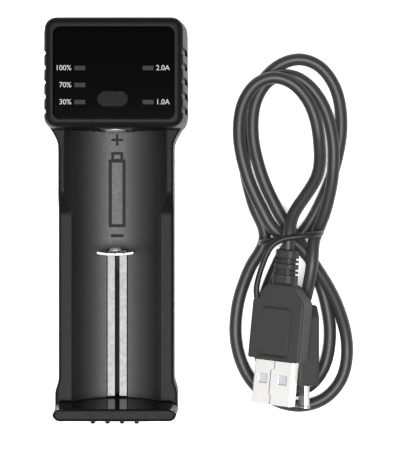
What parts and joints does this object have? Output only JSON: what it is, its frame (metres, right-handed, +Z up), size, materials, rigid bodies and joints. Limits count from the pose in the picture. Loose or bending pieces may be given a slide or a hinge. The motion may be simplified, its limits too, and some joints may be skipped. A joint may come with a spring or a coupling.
{
  "type": "cylindrical cell charger",
  "caption": "Single-bay charger for cylindrical lithium cells with a sprung sliding contact, display panel and mode button, and its tied USB lead beside it.",
  "frame": {"origin": "middle of the charger's underside, the middle of its box", "axes": "+Z up out of the bay, +Y from the foot to the head with the display, +X to the right"},
  "size_m": [0.0912, 0.1156, 0.03],
  "materials": {
    "shell": "dark grey satin ABS, finely textured",
    "panel": "polished black",
    "window": "smoked translucent",
    "led": "pale resin",
    "button": "satin grey",
    "circuit_board": "green solder mask",
    "nickel": "nickel plated, satin",
    "steel": "polished steel",
    "black_moulding": "black moulded",
    "wire": "red PVC",
    "cord": "satin PVC",
    "overmould": "satin moulded PVC",
    "white_tongue": "white moulded",
    "tie": "PVC covered wire"
  },
  "bodies": {
    "charger": {"upper_housing": "shell", "lower_housing": "shell", "display_panel": "panel", "charge_window_full": "window", "charge_window_middle": "window", "charge_window_low": "window", "current_window_high": "window", "current_window_low": "window", "charge_led_full": "led", "charge_led_middle": "led", "charge_led_low": "led", "current_led_high": "led", "current_led_low": "led", "main_board": "circuit_board", "contact_board": "circuit_board", "positive_contact": "nickel", "usb_inlet_shell": "nickel", "guide_strip_left": "steel", "guide_strip_right": "steel", "spring_anchor": "steel", "housing_screw_foot_left": "steel", "housing_screw_foot_right": "steel", "housing_screw_head_left": "steel", "housing_screw_head_right": "steel", "input_capacitor": "steel", "output_capacitor": "steel", "switch_base": "black_moulding", "controller_chip": "black_moulding", "charging_chip": "black_moulding", "power_inductor": "black_moulding", "light_shroud_charge": "black_moulding", "light_shroud_current": "black_moulding", "usb_inlet_tongue": "black_moulding", "negative_wire": "wire", "positive_wire": "wire"},
    "slider": {"slider_plate": "steel", "slider_dome": "nickel", "slider_carriage": "black_moulding", "slider_spring": "steel"},
    "button": {"mode_button": "button", "switch_plunger": "button"},
    "lead": {"lead_hank": "cord", "lead_tie": "tie", "usb_a_overmould": "overmould", "usb_a_shell": "nickel", "usb_a_tongue": "white_tongue", "micro_usb_overmould": "overmould", "micro_usb_shell": "nickel", "micro_usb_tongue": "black_moulding"}
  },
  "joints": [
    {"name": "slider_travel", "type": "slide", "parent": "charger", "child": "slider", "axis": [0, -1, 0], "range_m": [0, 0.04], "stiffness_N_per_m": 60, "springref_m": -0.02, "deforming": ["slider_spring"]},
    {"name": "button_press", "type": "slide", "parent": "charger", "child": "button", "axis": [0, 0, -1], "range_m": [0, 0.0005], "stiffness_N_per_m": 600, "springref_m": -0.0005},
    {"name": "lead_set_down", "type": "slide", "parent": "charger", "child": "lead", "axis": [1, 0, 0], "range_m": [0, 0.05]}
  ]
}
